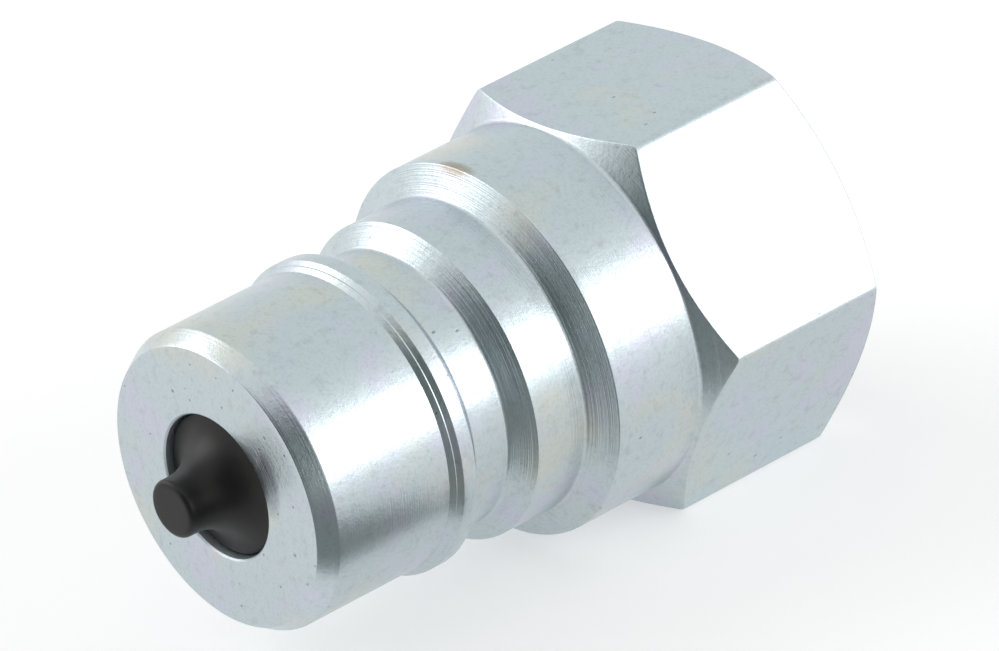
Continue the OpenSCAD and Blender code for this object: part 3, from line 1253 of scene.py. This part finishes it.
@dataclass(frozen=True)
class Viewpoint:
    """The camera.

    Attributes:
        azimuth: Turn of the view about Z; 0 looks along +Y.
        elevation: Height of the view above the horizon.
        roll: Lean of the camera to its right.
        target: The point at the middle of the picture.
        distance: From the target to the camera.
        lens: Focal length over the sensor's width.
        sensor: The sensor's width, in millimetres.
        reach: The nearest and farthest distance that is drawn.
    """

    azimuth: float = math.radians(-38.03)
    elevation: float = math.radians(26.31)
    roll: float = math.radians(8.08)
    target: Tone = (19.486 * MM, -0.991 * MM, 1.518 * MM)
    distance: float = 537.0 * MM
    lens: float = 10.048
    sensor: float = 36.0
    reach: tuple[float, float] = (0.01, 20.0)

    def build(self) -> None:
        """Makes the scene's camera.

        The camera stands at distance from the target, along (sin a cos e, -cos a cos e,
        sin e), and then leans by roll about its own axis.
        """
        data = bpy.data.cameras.new("view")
        data.sensor_width = self.sensor
        data.lens = self.lens * data.sensor_width
        data.clip_start, data.clip_end = self.reach
        a, e = self.azimuth, self.elevation
        back = Vector((math.sin(a) * math.cos(e), -math.cos(a) * math.cos(e), math.sin(e)))
        right = Vector((math.cos(a), math.sin(a), 0.0))
        up = back.cross(right)
        turn = Matrix((right, up, back)).transposed()
        turn = turn @ Matrix.Rotation(-self.roll, 3, "Z")
        pose = turn.to_4x4()
        pose.translation = Vector(self.target) + back * self.distance
        camera = bpy.data.objects.new("view", data)
        camera.matrix_world = pose
        bpy.context.scene.collection.objects.link(camera)
        bpy.context.scene.camera = camera


@dataclass(frozen=True)
class Studio:
    """Floor, world, soft lamps and the cards that the metal mirrors."""

    floor_size: float = 6.0
    floor_tone: float = 0.8
    floor_glow: float = 0.42
    fill: float = 0.55
    distance: float = 0.7
    dark: Tone = (0.11, 0.135, 0.13)
    grey: Tone = (0.88, 0.92, 0.92)
    # Tone, place and lift of a dark card on the floor, seen only in the metal: painted shade for
    # the lower slopes to mirror.
    shade_card_tone: Tone = (0.24, 0.26, 0.26)
    shade_card_at: tuple[float, float] = (-0.185, -0.212)
    shade_card_lift: float = 0.1 * MM

    def build(self) -> None:
        """Makes the floor, the world, the lamps and the cards."""
        scene = bpy.context.scene
        scene.view_settings.view_transform = "Standard"
        self.floor()
        self.world()
        self.lamp("near_right", (0.55, -0.80, 0.27), 0.6, 0.34, 2.4)
        self.lamp("far_left", (-0.44, 0.75, 0.55), 0.5, 0.4, 2.3)
        self.card("dark_left", self.aim((-0.82, -0.46, 0.36)), 1.05, 0.85, self.dark)
        self.card("grey_back", self.aim((0.60, 0.30, 0.74)), 1.15, 0.95, self.grey)
        # A dark card on the floor beside the object paints the shade that the metal's lower slopes
        # mirror.
        low = Vector((*self.shade_card_at, CAD_BOX[0].z + self.shade_card_lift))
        self.card("painted_shade_card", Matrix.Translation(low), 0.4, 0.4, self.shade_card_tone)

    def floor(self) -> None:
        """A pale floor that the object rests on.

        Seen by the camera or in metal it gets a little light of its own, so that it is
        white where no shadow falls.
        """
        half = self.floor_size / 2
        low = CAD_BOX[0].z
        mesh = bpy.data.meshes.new("floor")
        corners = [(-half, -half, low), (half, -half, low), (half, half, low), (-half, half, low)]
        mesh.from_pydata(corners, [], [(0, 1, 2, 3)])
        g = Graph("floor")
        tone = self.floor_tone
        diffuse = g.node("ShaderNodeBsdfDiffuse", {}, {"Color": rgb(tone, tone, tone)})
        glow = g.node("ShaderNodeEmission", {}, {"Strength": g.seen() * self.floor_glow})
        both = g.node("ShaderNodeAddShader", {}, {0: diffuse.outputs[0], 1: glow.outputs[0]})
        mesh.materials.append(g.close(both))
        obj = bpy.data.objects.new("floor", mesh)
        bpy.context.scene.collection.objects.link(obj)

    def world(self) -> None:
        """White where it is seen, and a plain fill for everything else."""
        g = Graph("studio", world=True)
        strength = g.seen() * (1.0 - self.fill) + self.fill
        sky = {"Color": rgb(1.0, 1.0, 1.0), "Strength": strength}
        bpy.context.scene.world = g.close(g.node("ShaderNodeBackground", {}, sky))

    def aim(self, direction: Sequence[float]) -> Matrix:
        """The pose of something that hangs that way from the object and faces it.

        Args:
            direction: From the object's middle, of any length.

        Returns:
            The pose.
        """
        way = Vector(direction).normalized()
        middle = (CAD_BOX[0] + CAD_BOX[1]) / 2
        pose = way.to_track_quat("Z", "Y").to_matrix().to_4x4()
        pose.translation = middle + way * self.distance
        return pose

    def lamp(self, name: str, way: Sequence[float], wide: float, high: float, glow: float) -> None:
        """A soft lamp.

        Args:
            name: Its name.
            way: Where it hangs, seen from the object.
            wide: Its width.
            high: Its height.
            glow: How bright metal mirrors it, where the background is 1.
        """
        data = bpy.data.lights.new(name, "AREA")
        data.shape = "RECTANGLE"
        data.size, data.size_y = wide, high
        data.energy = glow * wide * high * math.pi
        lamp = bpy.data.objects.new(name, data)
        lamp.matrix_world = self.aim(way)
        lamp.visible_camera = False
        bpy.context.scene.collection.objects.link(lamp)

    def card(
        self, name: str, pose: Matrix, wide: float, high: float, tone: Sequence[float]
    ) -> None:
        """A card, which shows only in the metal.

        Args:
            name: Its name.
            pose: Where it stands.
            wide: Its width.
            high: Its height.
            tone: Its colour.
        """
        mesh = bpy.data.meshes.new(name)
        x, y = wide / 2, high / 2
        mesh.from_pydata([(-x, -y, 0), (x, -y, 0), (x, y, 0), (-x, y, 0)], [], [(0, 1, 2, 3)])
        g = Graph(name)
        glow = g.node("ShaderNodeEmission", {}, {"Color": rgb(*tone), "Strength": 1.0})
        mesh.materials.append(g.close(glow))
        card = bpy.data.objects.new(name, mesh)
        card.matrix_world = pose
        card.visible_camera = False
        card.visible_diffuse = False
        card.visible_shadow = False
        bpy.context.scene.collection.objects.link(card)


def main() -> None:
    """Builds the pieces, the stage, the light and the camera."""
    logging.basicConfig(level=logging.INFO, format="%(name)s: %(message)s")
    Viewpoint().build()
    Studio().build()
    Housing().build(ZincSteel().material())
    Poppet().build(BlackPoppet().material())
    SealRing().build(SealRubber().material())
    wire = DrawnWire("spring_wire").material()
    Spring().build(wire)
    SnapRing().build(wire)
    Guide().build(TurnedBrass().material())


if __name__ == "__main__":
    main()
